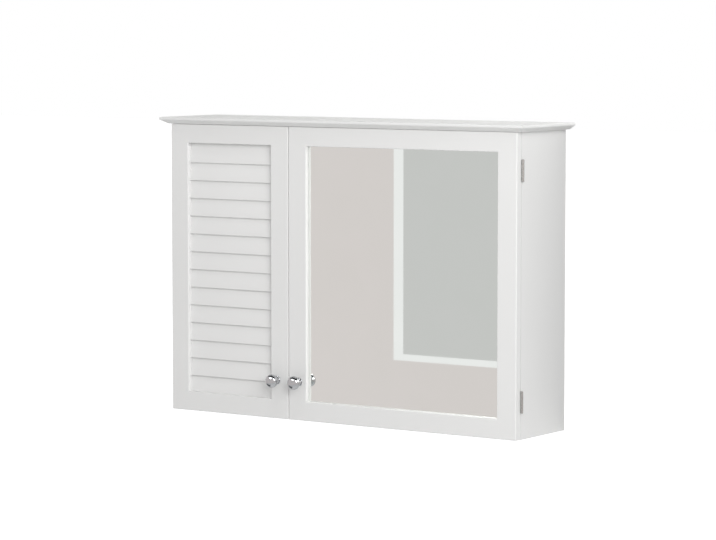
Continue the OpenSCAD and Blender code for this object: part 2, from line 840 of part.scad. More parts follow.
// One leaf of a right-hand hinge about the pin's line; own knuckles are the odd or even ones
module leaf(first) {
    difference() {
        union() {
            block([leaf_edge_x - leaf_w, leaf_y0, -hinge_l / 2], [leaf_edge_x, leaf_y1, hinge_l / 2]);
            for (i = [first : 2 : knuckle_count - 1]) {
                z0 = -hinge_l / 2 + i * knuckle_l + (i == 0 ? 0 : knuckle_play);
                z1 = -hinge_l / 2 + (i + 1) * knuckle_l - (i == knuckle_count - 1 ? 0 : knuckle_play);
                block([leaf_edge_x - eps, leaf_y0, z0], [0, leaf_y1, z1]);
                translate([0, 0, z0]) cylinder(r = knuckle_r, h = z1 - z0, $fn = round_fn);
            }
        }
        translate([0, 0, -hinge_l]) cylinder(r = pin_r + pin_clear, h = 2 * hinge_l, $fn = round_fn);
        for (dz = leaf_screw_zs)
            translate([leaf_screw_x, leaf_y0, dz]) rotate([-90, 0, 0])
                cylinder(r1 = screw_head_r + seat_clear, r2 = screw_r + seat_clear, h = leaf_t,
                    $fn = round_fn);
    }
}

module at_hinge(i) {
    translate([hinge_axis_x, hinge_axis_y, hinge_zs[i]]) children();
}

module side_leaf(i) {
    at_hinge(i) leaf(0);
}

module door_leaf(i) {
    at_hinge(i) mirror([0, 1, 0]) leaf(1);
}

module side_leaf_right_upper() color(steel) hung() side_leaf(1);
module side_leaf_right_lower() color(steel) hung() side_leaf(0);
module side_leaf_left_upper() color(steel) hung() mirror([1, 0, 0]) side_leaf(1);
module side_leaf_left_lower() color(steel) hung() mirror([1, 0, 0]) side_leaf(0);
module mirror_leaf_upper() color(steel) hung() door_leaf(1);
module mirror_leaf_lower() color(steel) hung() door_leaf(0);
module louvre_leaf_upper() color(steel) hung() mirror([1, 0, 0]) door_leaf(1);
module louvre_leaf_lower() color(steel) hung() mirror([1, 0, 0]) door_leaf(0);

// A pin with a low button at each end
module hinge_pin() {
    half = hinge_l / 2 + pin_head_gap;
    translate([0, 0, -half]) cylinder(r = pin_r, h = 2 * half, $fn = round_fn);
    for (s = [0, 1]) mirror([0, 0, s]) translate([0, 0, half])
        cylinder(r1 = pin_head_r, r2 = pin_head_r - pin_head_h / 2, h = pin_head_h, $fn = round_fn);
}

module hinge_pins() {
    color(steel) hung() for (s = [0, 1], i = [0, 1]) mirror([s, 0, 0]) at_hinge(i) hinge_pin();
}

// Screws of the two right-hand leaves; side 1 is the carcass and side 0 the door
module leaf_screws(side) {
    for (i = [0, 1], dz = leaf_screw_zs)
        at_hinge(i) mirror([0, side == 1 ? 0 : 1, 0]) translate([leaf_screw_x, leaf_y0, dz]) sunk_screw();
}

// Places of the screws that hold a catch, on the lower faces of its ears
module at_catch_screws() {
    dx = (catch_l - catch_ear_l) / 2;
    for (x = catch_xs, s = [-1, 1])
        translate([x + s * dx, front_y + catch_gap + catch_d / 2, body_h - catch_ear_t]) children();
}

module catch_screw_holes() {
    at_catch_screws() cylinder(r = screw_r + seat_clear, h = screw_l + end_clear, $fn = round_fn);
}

module carcass_screws() {
    color(steel) hung() {
        leaf_screws(1);
        mirror([1, 0, 0]) leaf_screws(1);
        at_catch_screws() rotate([-90, 0, 0]) round_screw(screw_r, screw_l, screw_head_r, screw_head_h);
    }
}

// Housing of a catch: a body with a pocket for the magnet, and an ear at each end
module catch_housing() {
    y0 = front_y + catch_gap;
    difference() {
        union() {
            block([-catch_l / 2, y0, body_h - catch_ear_t], [catch_l / 2, y0 + catch_d, body_h]);
            block([-catch_l / 2 + catch_ear_l, y0, body_h - catch_h],
                [catch_l / 2 - catch_ear_l, y0 + catch_d, body_h - catch_ear_t + eps]);
        }
        magnet_block(fit_clear);
    }
}

// A magnet, or its pocket when there is play
module magnet_block(play) {
    y0 = front_y + catch_gap;
    half = catch_l / 2 - catch_ear_l - magnet_wall_t + play;
    z0 = body_h - catch_h + magnet_floor_t;
    block([-half, y0 - (play > 0 ? past : 0), z0 - play], [half, y0 + magnet_d + play, z0 + magnet_h + play]);
}

module magnetic_catches() {
    color(plastic) hung() difference() {
        for (x = catch_xs) translate([x, 0, 0]) catch_housing();
        translate([0, 0, -past]) catch_screw_holes();
    }
}

module catch_magnets() {
    color(zinc) hung() for (x = catch_xs) translate([x, 0, 0]) magnet_block(0);
}

module strike_plate(i) {
    color(steel) hung() difference() {
        translate([catch_xs[i], 0, strike_z])
            block([-strike_l / 2, door_back_y, -strike_w / 2],
                [strike_l / 2, door_back_y + strike_t, strike_w / 2]);
        for (dx = [-strike_screw_dx, strike_screw_dx])
            translate([catch_xs[i] + dx, door_back_y, strike_z]) rotate([-90, 0, 0])
                cylinder(r1 = screw_r + seat_clear, r2 = screw_head_r + seat_clear, h = strike_t,
                    $fn = round_fn);
    }
}

module strike_screws(i) {
    for (dx = [-strike_screw_dx, strike_screw_dx])
        translate([catch_xs[i] + dx, door_back_y + strike_t, strike_z]) mirror([0, 1, 0]) sunk_screw();
}

module louvre_strike_plate() {
    strike_plate(0);
}

module mirror_strike_plate() {
    strike_plate(1);
}

// Half section of a knob: a stepped foot, a waisted neck and a domed head
module knob_section() {
    foot_r = knob_foot_d / 2;
    neck_r = knob_neck_d / 2;
    flare_r = knob_flare_d / 2;
    head_r = knob_d / 2;
    steps = 10;
    polygon(concat(
        [[0, 0], [foot_r - knob_lip_r / 2, 0]],
        arc([foot_r - knob_lip_r, knob_lip_r], knob_lip_r, -60, 90, 5),
        [[foot_r - knob_step_w, 2 * knob_lip_r]],
        [for (i = [0 : steps]) let (t = i / steps) [
            neck_r + (foot_r - knob_step_w - neck_r) * pow(1 - t, 3) + (flare_r - neck_r) * pow(t, 3),
            knob_foot_l + (knob_under_l - knob_foot_l) * t]],
        [for (i = [1 : steps]) let (a = 90 * i / steps) [
            flare_r + (head_r - flare_r) * sin(a),
            knob_rim_l - (knob_rim_l - knob_under_l) * cos(a)]],
        [for (i = [1 : steps]) let (a = 90 * i / steps) [
            head_r * cos(a),
            knob_rim_l + (knob_l - knob_rim_l) * sin(a)]]));
}

module knob(i) {
    color(chrome) hung() translate([knob_xs[i], door_front_y, knob_z]) rotate([90, 0, 0]) difference() {
        rotate_extrude($fn = round_fn) knob_section();
        translate([0, 0, -past])
            cylinder(r = knob_screw_r + seat_clear, h = past + knob_screw_in + end_clear, $fn = round_fn);
    }
}

module knob_screw(i) {
    translate([knob_xs[i], door_back_y, knob_z])
        round_screw(knob_screw_r, door_t + knob_screw_in, knob_screw_head_r, knob_screw_head_h);
}

module louvre_knob() {
    knob(0);
}

module mirror_knob() {
    knob(1);
}

module louvre_screws() {
    color(steel) hung() {
        mirror([1, 0, 0]) leaf_screws(0);
        strike_screws(0);
        knob_screw(0);
    }
}

module mirror_screws() {
    color(steel) hung() {
        leaf_screws(0);
        strike_screws(1);
        knob_screw(1);
        at_clips() translate([clip_hole_x, clip_t, 0])
            round_screw(screw_r, screw_l, screw_head_r, screw_head_h);
    }
}

top_board();
side_panel_left();
side_panel_right();
bottom_panel();
centre_partition();
back_panel();
hanging_rail_left();
hanging_rail_right();
shelf_left_upper();
shelf_left_lower();
shelf_right_upper();
shelf_right_lower();
shelf_pins();
cam_locks();
cam_bolts();
dowels();
side_leaf_left_upper();
side_leaf_left_lower();
side_leaf_right_upper();
side_leaf_right_lower();
hinge_pins();
carcass_screws();
magnetic_catches();
catch_magnets();
louvre_stile_hinge();
louvre_stile_knob();
louvre_rail_top();
louvre_rail_bottom();
slat_01();
slat_02();
slat_03();
slat_04();
slat_05();
slat_06();
slat_07();
slat_08();
slat_09();
slat_10();
slat_11();
slat_12();
slat_13();
slat_14();
louvre_knob();
louvre_strike_plate();
louvre_leaf_upper();
louvre_leaf_lower();
louvre_screws();
mirror_stile_knob();
mirror_stile_hinge();
mirror_rail_top();
mirror_rail_bottom();
mirror_glass();
mirror_backing();
backing_clips();
mirror_knob();
mirror_strike_plate();
mirror_leaf_upper();
mirror_leaf_lower();
mirror_screws();
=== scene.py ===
# Bathroom mirror cabinet: a louvred door, a mirror door and a moulded top board, hung on a wall
import math
import bmesh
import bpy
from mathutils import Matrix, Vector


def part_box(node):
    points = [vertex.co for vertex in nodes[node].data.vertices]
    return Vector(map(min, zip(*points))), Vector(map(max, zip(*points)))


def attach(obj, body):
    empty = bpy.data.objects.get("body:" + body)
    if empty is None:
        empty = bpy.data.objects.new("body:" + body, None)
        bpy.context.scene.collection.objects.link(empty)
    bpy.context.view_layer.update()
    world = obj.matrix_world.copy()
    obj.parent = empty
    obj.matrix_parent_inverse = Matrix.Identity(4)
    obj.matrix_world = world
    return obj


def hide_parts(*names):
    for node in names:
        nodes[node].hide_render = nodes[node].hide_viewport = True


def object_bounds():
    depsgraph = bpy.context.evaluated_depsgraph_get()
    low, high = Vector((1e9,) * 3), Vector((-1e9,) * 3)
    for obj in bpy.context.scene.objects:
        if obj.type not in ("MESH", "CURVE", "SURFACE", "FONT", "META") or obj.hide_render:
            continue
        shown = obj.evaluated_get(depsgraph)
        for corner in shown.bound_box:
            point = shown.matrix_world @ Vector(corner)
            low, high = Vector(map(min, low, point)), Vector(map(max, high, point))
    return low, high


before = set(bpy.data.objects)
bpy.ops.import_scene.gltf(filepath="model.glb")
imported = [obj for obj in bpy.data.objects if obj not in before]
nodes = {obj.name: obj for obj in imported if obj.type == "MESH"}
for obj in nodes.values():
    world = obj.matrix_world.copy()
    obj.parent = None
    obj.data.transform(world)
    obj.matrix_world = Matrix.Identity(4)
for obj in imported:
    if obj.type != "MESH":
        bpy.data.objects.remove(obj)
cadBox = [list(corner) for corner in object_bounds()]
mm = 0.001  # sizes below are in millimetres, Blender's in metres
scene = bpy.context.scene
upright = Matrix.Rotation(math.pi / 2, 4, "X")  # stands up what is made lying flat, its top to the front
print("frame loaded:", len(nodes), "pieces")


def hexColour(code):
    # sRGB hex to Blender's linear colour
    parts = [int(code[i:i + 2], 16) / 255 for i in (1, 3, 5)]
    return [c / 12.92 if c <= 0.04045 else ((c + 0.055) / 1.055) ** 2.4 for c in parts] + [1.0]


def addNode(tree, kind, settings=None, inputs=None):
    # one node with its settings; an input is a value, or the socket it is linked from
    node = tree.nodes.new(kind)
    for name, value in (settings or {}).items():
        setattr(node, name, value)
    for key, value in (inputs or {}).items():
        if isinstance(value, bpy.types.NodeSocket):
            tree.links.new(value, node.inputs[key])
        else:
            node.inputs[key].default_value = value
    return node


def startMaterial(name, sockets):
    # a Principled material with its plain sockets set, and the coordinates that its patterns follow
    material = bpy.data.materials.new(name)
    material.use_nodes = True
    tree = material.node_tree
    shader = tree.nodes["Principled BSDF"]
    for socket, value in sockets.items():
        shader.inputs[socket].default_value = value
    place = addNode(tree, "ShaderNodeTexCoord").outputs["Object"]
    return material, tree, shader, place


def finishMaterial(tree, shader, look, tint, grain):
    # tint mixes the look's two colours; grain gives the uneven roughness and the relief
    tone = addNode(tree, "ShaderNodeMix", {"data_type": "RGBA"}, {
        0: tint, 6: hexColour(look["colour"]), 7: hexColour(look["shade"])})
    tree.links.new(tone.outputs[2], shader.inputs["Base Color"])
    if "roughness" in look:
        low, high = look["roughness"]
        first, last = look.get("span", (0.0, 1.0))
        sheen = addNode(tree, "ShaderNodeMapRange", inputs={
            "Value": grain, 1: first, 2: last, 3: low, 4: high})
        tree.links.new(sheen.outputs[0], shader.inputs["Roughness"])
    if "relief" in look:
        strength, depth = look["relief"]
        bump = addNode(tree, "ShaderNodeBump", inputs={
            "Height": grain, "Strength": strength, "Distance": depth * mm})
        tree.links.new(bump.outputs[0], shader.inputs["Normal"])


def newObject(name, data):
    piece = bpy.data.objects.new(name, data)
    scene.collection.objects.link(piece)
    return piece


def meshFromBmesh(name, bm):
    mesh = bpy.data.meshes.new(name)
    bm.to_mesh(mesh)
    bm.free()
    return mesh


def smoothMesh(mesh, degrees):
    # round faces shade smoothly, and corners sharper than this stay crisp
    mesh.shade_smooth()
    mesh.set_sharp_from_angle(angle=math.radians(degrees))


# camera at the photograph's viewing angle
cameraView = {"lens": 146.457, "sensor": 36, "place": (3.0156, -4.4968, 0.2164), "turn": 34.451,
              "down": 4.874, "clipEnd": 400}
cameraData = bpy.data.cameras.new("photoCamera")
cameraData.lens = cameraView["lens"]
cameraData.sensor_width = cameraView["sensor"]
cameraData.clip_end = cameraView["clipEnd"]
camera = newObject("photoCamera", cameraData)
camera.location = cameraView["place"]
camera.rotation_euler = (math.radians(90 - cameraView["down"]), 0, math.radians(cameraView["turn"]))
scene.camera = camera
print("camera placed")

# Each look below: two colours that its pattern mixes, the pattern's sizes in millimetres, how many times
# finer it is along X, Y and Z, the lowest and highest roughness, the span of the pattern that they cover
# where it isn't 0 to 1, and the relief's strength and its depth in millimetres

# Satin acrylic paint, sprayed on MDF: an even off-white with a faint orange peel and a soft sheen
paintLook = {"colour": "#e6e6e5", "shade": "#e2e2e1", "patchesPerMetre": 7.0, "peel": 2.2,
             "roughness": (0.3, 0.4), "relief": (0.6, 0.03), "coat": 0.08, "coatRoughness": 0.3}


def makePaint():
    material, tree, shader, place = startMaterial("satinAcrylicPaint", {
        "Coat Weight": paintLook["coat"], "Coat Roughness": paintLook["coatRoughness"]})
    drift = addNode(tree, "ShaderNodeTexNoise", inputs={
        "Vector": place, "Scale": paintLook["patchesPerMetre"], "Detail": 3.0})
    peel = addNode(tree, "ShaderNodeTexNoise", inputs={
        "Vector": place, "Scale": 1 / (paintLook["peel"] * mm), "Detail": 2.0, "Roughness": 0.4})
    finishMaterial(tree, shader, paintLook, drift.outputs[0], peel.outputs[0])
    return material


# Standard hardboard: pressed wood fibre, warm brown, with short random fibres in its smooth face
boardLook = {"colour": "#7a5a3e", "shade": "#5c402a", "fibre": 1.6, "fleck": 9.0, "fibreShare": 0.7,
             "shadeUpTo": 0.55, "colourFrom": 0.95, "evenRoughness": 0.62, "relief": (0.5, 0.06)}


def makeHardboard():
    material, tree, shader, place = startMaterial("pressedHardboard", {
        "Roughness": boardLook["evenRoughness"]})
    fibre = addNode(tree, "ShaderNodeTexNoise", inputs={
        "Vector": place, "Scale": 1 / (boardLook["fibre"] * mm), "Detail": 6.0, "Roughness": 0.7,
        "Distortion": 1.5})
    fleck = addNode(tree, "ShaderNodeTexNoise", inputs={
        "Vector": place, "Scale": 1 / (boardLook["fleck"] * mm), "Detail": 4.0})
    blend = addNode(tree, "ShaderNodeMath", {"operation": "MULTIPLY_ADD"}, {
        0: fibre.outputs[0], 1: boardLook["fibreShare"], 2: fleck.outputs[0]})
    ramp = addNode(tree, "ShaderNodeValToRGB", inputs={0: blend.outputs[0]})
    darkEnd, paleEnd = ramp.color_ramp.elements
    darkEnd.position = boardLook["shadeUpTo"]
    darkEnd.color = hexColour(boardLook["shade"])
    paleEnd.position = boardLook["colourFrom"]
    paleEnd.color = hexColour(boardLook["colour"])
    tree.links.new(ramp.outputs[0], shader.inputs["Base Color"])
    strength, depth = boardLook["relief"]
    bump = addNode(tree, "ShaderNodeBump", inputs={
        "Height": fibre.outputs[0], "Strength": strength, "Distance": depth * mm})
    tree.links.new(bump.outputs[0], shader.inputs["Normal"])
    return material


# Bare beech: pale pinkish brown with short dark flecks along the grain
beechLook = {"colour": "#cfa678", "shade": "#a9784c", "grain": 0.9, "finer": (0.12, 1.0, 1.0),
             "evenRoughness": 0.58, "relief": (0.4, 0.05)}


def makeBeech():
    material, tree, shader, place = startMaterial("bareBeech", {"Roughness": beechLook["evenRoughness"]})
    along = addNode(tree, "ShaderNodeMapping", inputs={"Vector": place, "Scale": beechLook["finer"]})
    grain = addNode(tree, "ShaderNodeTexNoise", inputs={
        "Vector": along.outputs[0], "Scale": 1 / (beechLook["grain"] * mm), "Detail": 4.0})
    finishMaterial(tree, shader, beechLook, grain.outputs[0], grain.outputs[0])
    return material


# Metals: each from its own colour and finish; the pattern is the marks of its polishing or casting
metalLooks = {
    # polished chrome plate on the knobs: near mirror-bright, faint wiping marks
    "polishedChrome": {"colour": "#c9cbcd", "shade": "#bfc1c4", "mark": 1.2, "finer": (1.0, 1.0, 6.0),
                       "roughness": (0.035, 0.09), "span": (0.3, 0.7), "relief": (0.4, 0.004)},
    # satin nickel plate on the hinges: a little greyer than the chrome and softer, brushed along the leaf
    "satinNickel": {"colour": "#c2c2c0", "shade": "#aeaeac", "mark": 0.8, "finer": (9.0, 9.0, 1.0),
                    "roughness": (0.2, 0.32), "span": (0.3, 0.7), "relief": (0.4, 0.01)},
    # bright zinc plate on screws, clips and strikes: bluish, slightly mottled
    "brightZinc": {"colour": "#b8bcc0", "shade": "#9a9fa5", "mark": 2.5, "finer": (1.0, 1.0, 1.0),
                   "roughness": (0.22, 0.42), "span": (0.3, 0.7), "relief": (0.4, 0.008)},
    # die-cast zinc of the cam locks: dull grey with the fine grain of the die
    "dieCastZinc": {"colour": "#8f9192", "shade": "#76787a", "mark": 0.7, "finer": (1.0, 1.0, 1.0),
                    "roughness": (0.45, 0.62), "span": (0.3, 0.7), "relief": (0.4, 0.03)},
}


def makeMetal(name):
    look = metalLooks[name]
    material, tree, shader, place = startMaterial(name, {"Metallic": 1.0})
    along = addNode(tree, "ShaderNodeMapping", inputs={"Vector": place, "Scale": look["finer"]})
    mark = addNode(tree, "ShaderNodeTexNoise", inputs={
        "Vector": along.outputs[0], "Scale": 1 / (look["mark"] * mm), "Detail": 5.0, "Roughness": 0.6})
    finishMaterial(tree, shader, look, mark.outputs[0], mark.outputs[0])
    return material


# Silvered float glass: a clear, even reflection with the faintest green-grey of the glass
mirrorLook = {"colour": "#eff1ef", "shade": "#ecefec", "smear": 70.0,
              "roughness": (0.004, 0.016), "span": (0.35, 0.75)}


def makeMirror():
    material, tree, shader, place = startMaterial("silveredFloatGlass", {"Metallic": 1.0})
    smear = addNode(tree, "ShaderNodeTexNoise", inputs={
        "Vector": place, "Scale": 1 / (mirrorLook["smear"] * mm), "Detail": 4.0, "Distortion": 0.6})
    finishMaterial(tree, shader, mirrorLook, smear.outputs[0], smear.outputs[0])
    return material


# Injection-moulded ABS of the catches, and the sintered ferrite of their magnets: a fine, even grain
mouldedLooks = {
    "mouldedAbs": {"colour": "#e9e9e6", "shade": "#dededa", "grain": 0.6,
                   "roughness": (0.3, 0.4), "relief": (0.4, 0.015)},
    "sinteredFerrite": {"colour": "#2b2b2d", "shade": "#1e1e20", "grain": 0.4,
                        "roughness": (0.5, 0.7), "relief": (0.4, 0.03)},
}


def makeMoulded(name):
    look = mouldedLooks[name]
    material, tree, shader, place = startMaterial(name, {})
    grain = addNode(tree, "ShaderNodeTexNoise", inputs={
        "Vector": place, "Scale": 1 / (look["grain"] * mm), "Detail": 3.0})
    finishMaterial(tree, shader, look, grain.outputs[0], grain.outputs[0])
    return material


materials = {"painted_wood": makePaint(), "hardboard": makeHardboard(), "beech": makeBeech(),
             "chrome_plate": makeMetal("polishedChrome"), "nickel_plated_steel": makeMetal("satinNickel"),
             "zinc_plated_steel": makeMetal("brightZinc"), "cast_zinc": makeMetal("dieCastZinc"),
             "mirror_glass": makeMirror(), "white_plastic": makeMoulded("mouldedAbs"),
             "ferrite_magnet": makeMoulded("sinteredFerrite")}
for cadPiece in nodes.values():
    for slot in cadPiece.material_slots:
        slot.material = materials[slot.material.name]
print("materials made:", len(materials))


def startTree(name, sizes):
    # a group with a geometry input, one named input for each size, and a geometry output
    tree = bpy.data.node_groups.new(name, "GeometryNodeTree")
    tree.interface.new_socket("Geometry", in_out="INPUT", socket_type="NodeSocketGeometry")
    for label, kind in sizes.items():
        tree.interface.new_socket(label, in_out="INPUT", socket_type="NodeSocket" + kind)
    tree.interface.new_socket("Geometry", in_out="OUTPUT", socket_type="NodeSocketGeometry")
    return tree, addNode(tree, "NodeGroupInput").outputs


def endTree(tree, geometry, material):
    # instances made real, then the finish
    real = addNode(tree, "GeometryNodeRealizeInstances", inputs={0: geometry})
    finish = addNode(tree, "GeometryNodeSetMaterial", inputs={
        "Geometry": real.outputs[0], "Material": material})
    addNode(tree, "NodeGroupOutput", inputs={0: finish.outputs[0]})


def runTree(tree, name, values, mesh=None):
    # evaluates the tree on an object and keeps the result as that object's plain mesh
    piece = newObject(name, mesh or bpy.data.meshes.new(name))
    modifier = piece.modifiers.new("build", "NODES")
    modifier.node_group = tree
    for item in tree.interface.items_tree:
        if item.item_type == "SOCKET" and item.in_out == "INPUT" and item.name in values:
            modifier[item.identifier] = values[item.name]
    graph = bpy.context.evaluated_depsgraph_get()
    made = bpy.data.meshes.new_from_object(piece.evaluated_get(graph), depsgraph=graph)
    piece.modifiers.clear()
    piece.data = made
    made.name = name
    return piece


# louvre slats: one slat with eased arrises, repeated down the door; the last is cut to fit the rail
slatSizes = {"count": 14, "thickness": 4.0, "eased": 1.1, "edgeSteps": 6, "footGap": 0.3, "weld": 0.001,
             "smoothTo": 35}
slatLow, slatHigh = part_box("slat_01")
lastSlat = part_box("slat_%02d" % slatSizes["count"])
slatThick = slatSizes["thickness"] * mm
slatRise = slatHigh.z - slatLow.z - slatThick
slatLean = slatHigh.y - slatLow.y - slatThick
slatPitch = (slatHigh.z - lastSlat[1].z) / (slatSizes["count"] - 1)

slatTree, slatInputs = startTree("louvreSlatTree", {
    "Count": "Int", "Pitch": "Float", "Start": "Vector", "Length": "Float", "Width": "Float",
    "Thickness": "Float", "Eased": "Float", "Tilt": "Float", "Floor": "Float", "Slope": "Float",
    "Material": "Material"})
section = addNode(slatTree, "GeometryNodeCurvePrimitiveQuadrilateral", inputs={
    "Width": slatInputs["Thickness"], "Height": slatInputs["Width"]})
rounded = addNode(slatTree, "GeometryNodeFilletCurve", {"mode": "POLY"}, {
    "Curve": section.outputs[0], "Count": slatSizes["edgeSteps"], "Radius": slatInputs["Eased"]})
face = addNode(slatTree, "GeometryNodeFillCurve", {"mode": "NGONS"}, {0: rounded.outputs[0]})
drawn = addNode(slatTree, "GeometryNodeExtrudeMesh", {"mode": "FACES"}, {
    "Mesh": face.outputs[0], "Offset Scale": slatInputs["Length"], "Individual": False})
back = addNode(slatTree, "GeometryNodeFlipFaces", inputs={0: face.outputs[0]})
shell = addNode(slatTree, "GeometryNodeJoinGeometry")
slatTree.links.new(drawn.outputs[0], shell.inputs[0])
slatTree.links.new(back.outputs[0], shell.inputs[0])
welded = addNode(slatTree, "GeometryNodeMergeByDistance", inputs={
    "Geometry": shell.outputs[0], "Distance": slatSizes["weld"] * mm})
# the section is drawn flat, so it is stood up on its edge, looking along X, and then leant back
turned = addNode(slatTree, "ShaderNodeCombineXYZ", inputs={0: math.pi / 2, 1: 0.0, 2: math.pi / 2})
standing = addNode(slatTree, "GeometryNodeTransform", inputs={
    "Geometry": welded.outputs[0], "Rotation": turned.outputs[0]})
leaning = addNode(slatTree, "ShaderNodeCombineXYZ", inputs={0: slatInputs["Tilt"]})
slatAtPlace = addNode(slatTree, "GeometryNodeTransform", inputs={
    "Geometry": standing.outputs[0], "Rotation": leaning.outputs[0], "Translation": slatInputs["Start"]})
drop = addNode(slatTree, "ShaderNodeMath", {"operation": "MULTIPLY"}, {0: slatInputs["Pitch"], 1: -1.0})
step = addNode(slatTree, "ShaderNodeCombineXYZ", inputs={2: drop.outputs[0]})
ladder = addNode(slatTree, "GeometryNodeMeshLine", inputs={
    "Count": slatInputs["Count"], "Offset": step.outputs[0]})
slats = addNode(slatTree, "GeometryNodeInstanceOnPoints", inputs={
    "Points": ladder.outputs[0], "Instance": slatAtPlace.outputs[0]})
slatsReal = addNode(slatTree, "GeometryNodeRealizeInstances", inputs={0: slats.outputs[0]})
# whatever would go below the floor slides up along the slat's own slope
position = addNode(slatTree, "GeometryNodeInputPosition")
height = addNode(slatTree, "ShaderNodeSeparateXYZ", inputs={0: position.outputs[0]})
below = addNode(slatTree, "ShaderNodeMath", {"operation": "SUBTRACT"}, {
    0: slatInputs["Floor"], 1: height.outputs[2]})
lift = addNode(slatTree, "ShaderNodeMath", {"operation": "MAXIMUM"}, {0: below.outputs[0], 1: 0.0})
slide = addNode(slatTree, "ShaderNodeMath", {"operation": "MULTIPLY"}, {
    0: lift.outputs[0], 1: slatInputs["Slope"]})
shift = addNode(slatTree, "ShaderNodeCombineXYZ", inputs={1: slide.outputs[0], 2: lift.outputs[0]})
trimmed = addNode(slatTree, "GeometryNodeSetPosition", inputs={
    "Geometry": slatsReal.outputs[0], "Offset": shift.outputs[0]})
endTree(slatTree, trimmed.outputs[0], slatInputs["Material"])
slatMiddle = (slatLow + slatHigh) / 2
louvreSlats = runTree(slatTree, "louvreSlats", {
    "Count": slatSizes["count"], "Pitch": slatPitch, "Start": (slatLow.x, slatMiddle.y, slatMiddle.z),
    "Length": slatHigh.x - slatLow.x, "Width": math.hypot(slatRise, slatLean) + slatThick,
    "Thickness": slatThick, "Eased": slatSizes["eased"] * mm, "Tilt": -math.atan2(slatLean, slatRise),
    "Floor": lastSlat[0].z - slatSizes["footGap"] * mm, "Slope": slatLean / slatRise,
    "Material": materials["painted_wood"]})
smoothMesh(louvreSlats.data, slatSizes["smoothTo"])
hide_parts(*["slat_%02d" % (i + 1) for i in range(slatSizes["count"])])
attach(louvreSlats, "louvre_door")
print("slats made:", len(louvreSlats.data.polygons), "faces")


def turnedBmesh(profile, sides):
    # turns a half section, (radius, height) in millimetres, round the Z axis
    bm = bmesh.new()
    rings = []
    for radius, height in profile:
        turns = 1 if radius == 0 else sides
        rings.append([bm.verts.new((radius * mm * math.cos(2 * math.pi * i / sides),
                                    radius * mm * math.sin(2 * math.pi * i / sides), height * mm))
                      for i in range(turns)])
    for lower, upper in zip(rings, rings[1:]):
        for i in range(sides):
            j = (i + 1) % sides
            corners = [lower[i % len(lower)], lower[j % len(lower)],
                       upper[j % len(upper)], upper[i % len(upper)]]
            bm.faces.new(list(dict.fromkeys(corners)))
    bmesh.ops.recalc_face_normals(bm, faces=bm.faces[:])
    return bm


# mirror pane: one silvered block stands for clear glass over silver; its face is a little behind the real
# glass's, which leaves the rebate beside it in view, and its edges are ground
paneSizes = {"silverDepth": 0.4, "ground": 0.2}


def makePane():
    low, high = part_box("mirror_glass")
    ground = paneSizes["ground"] * mm
    front = low.y + paneSizes["silverDepth"] * mm
    bm = bmesh.new()
    rings = []
    for y, inset in ((front, ground), (front + ground, 0), (high.y - ground, 0), (high.y, ground)):
        rings.append([bm.verts.new((x, y, z)) for x, z in (
            (low.x + inset, low.z + inset), (high.x - inset, low.z + inset),
            (high.x - inset, high.z - inset), (low.x + inset, high.z - inset))])
    bm.faces.new(rings[0])
    bm.faces.new(rings[-1][::-1])
    for nearer, further in zip(rings, rings[1:]):
        for i in range(len(nearer)):
            j = (i + 1) % len(nearer)
            bm.faces.new((nearer[i], further[i], further[j], nearer[j]))
    bmesh.ops.recalc_face_normals(bm, faces=bm.faces[:])
    pane = newObject("mirrorPane", meshFromBmesh("mirrorPane", bm))
    pane.data.materials.append(materials["mirror_glass"])
    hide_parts("mirror_glass")
    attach(pane, "mirror_door")


makePane()
print("mirror pane made")

# knobs: a stepped foot, a waisted neck and a domed head, turned from brass and chrome plated
knobSizes = {"head": 25.0, "foot": 16.0, "neck": 9.0, "flare": 17.0, "rim": 16.0, "under": 11.5, "lip": 0.8,
             "lipAngles": range(-50, 91, 20), "step": 1.6, "footHeight": 2.4, "bore": 2.05, "boreDepth": 9.3,
             "fullness": 0.82, "sides": 96, "steps": 22, "smoothTo": 40}


def knobProfile(length):
    # half section, from the screw's bore round the foot, neck and head to the top of the dome
    foot, neck, flare, head = (knobSizes[key] / 2 for key in ("foot", "neck", "flare", "head"))
    lip, step, footHeight = (knobSizes[key] for key in ("lip", "step", "footHeight"))
    bore, boreDepth, rim, under = (knobSizes[key] for key in ("bore", "boreDepth", "rim", "under"))
    fullness = knobSizes["fullness"]
    shares = [i / knobSizes["steps"] for i in range(1, knobSizes["steps"] + 1)]
    profile = [(0, boreDepth), (bore, boreDepth), (bore, 0), (foot - lip / 2, 0)]
    for angle in knobSizes["lipAngles"]:
        turn = math.radians(angle)
        profile.append((foot - lip + lip * math.cos(turn), lip + lip * math.sin(turn)))
    profile.append((foot - step, 2 * lip))
    for share in [0] + shares:  # neck
        profile.append((neck + (foot - step - neck) * (1 - share) ** 3 + (flare - neck) * share ** 3,
                        footHeight + (under - footHeight) * share))
    for share in shares:  # underside of the head, out to its rim
        turn = share * math.pi / 2
        profile.append((flare + (head - flare) * math.sin(turn), rim - (rim - under) * math.cos(turn)))
    for share in shares[:-1]:  # dome, a little fuller than an ellipse
        turn = share * math.pi / 2
        profile.append((head * math.cos(turn) ** fullness, rim + (length - rim) * math.sin(turn) ** fullness))
    return profile + [(0, length)]


for name, node, body in (("louvreDoorKnob", "louvre_knob", "louvre_door"),
                         ("mirrorDoorKnob", "mirror_knob", "mirror_door")):
    low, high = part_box(node)
    middle = (low + high) / 2
    bm = turnedBmesh(knobProfile((high.y - low.y) / mm), knobSizes["sides"])
    bm.transform(Matrix.Translation((middle.x, high.y, middle.z)) @ upright)
    knob = newObject(name, meshFromBmesh(name, bm))
    knob.data.materials.append(materials["chrome_plate"])
    smoothMesh(knob.data, knobSizes["smoothTo"])
    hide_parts(node)
    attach(knob, body)
print("knobs turned")

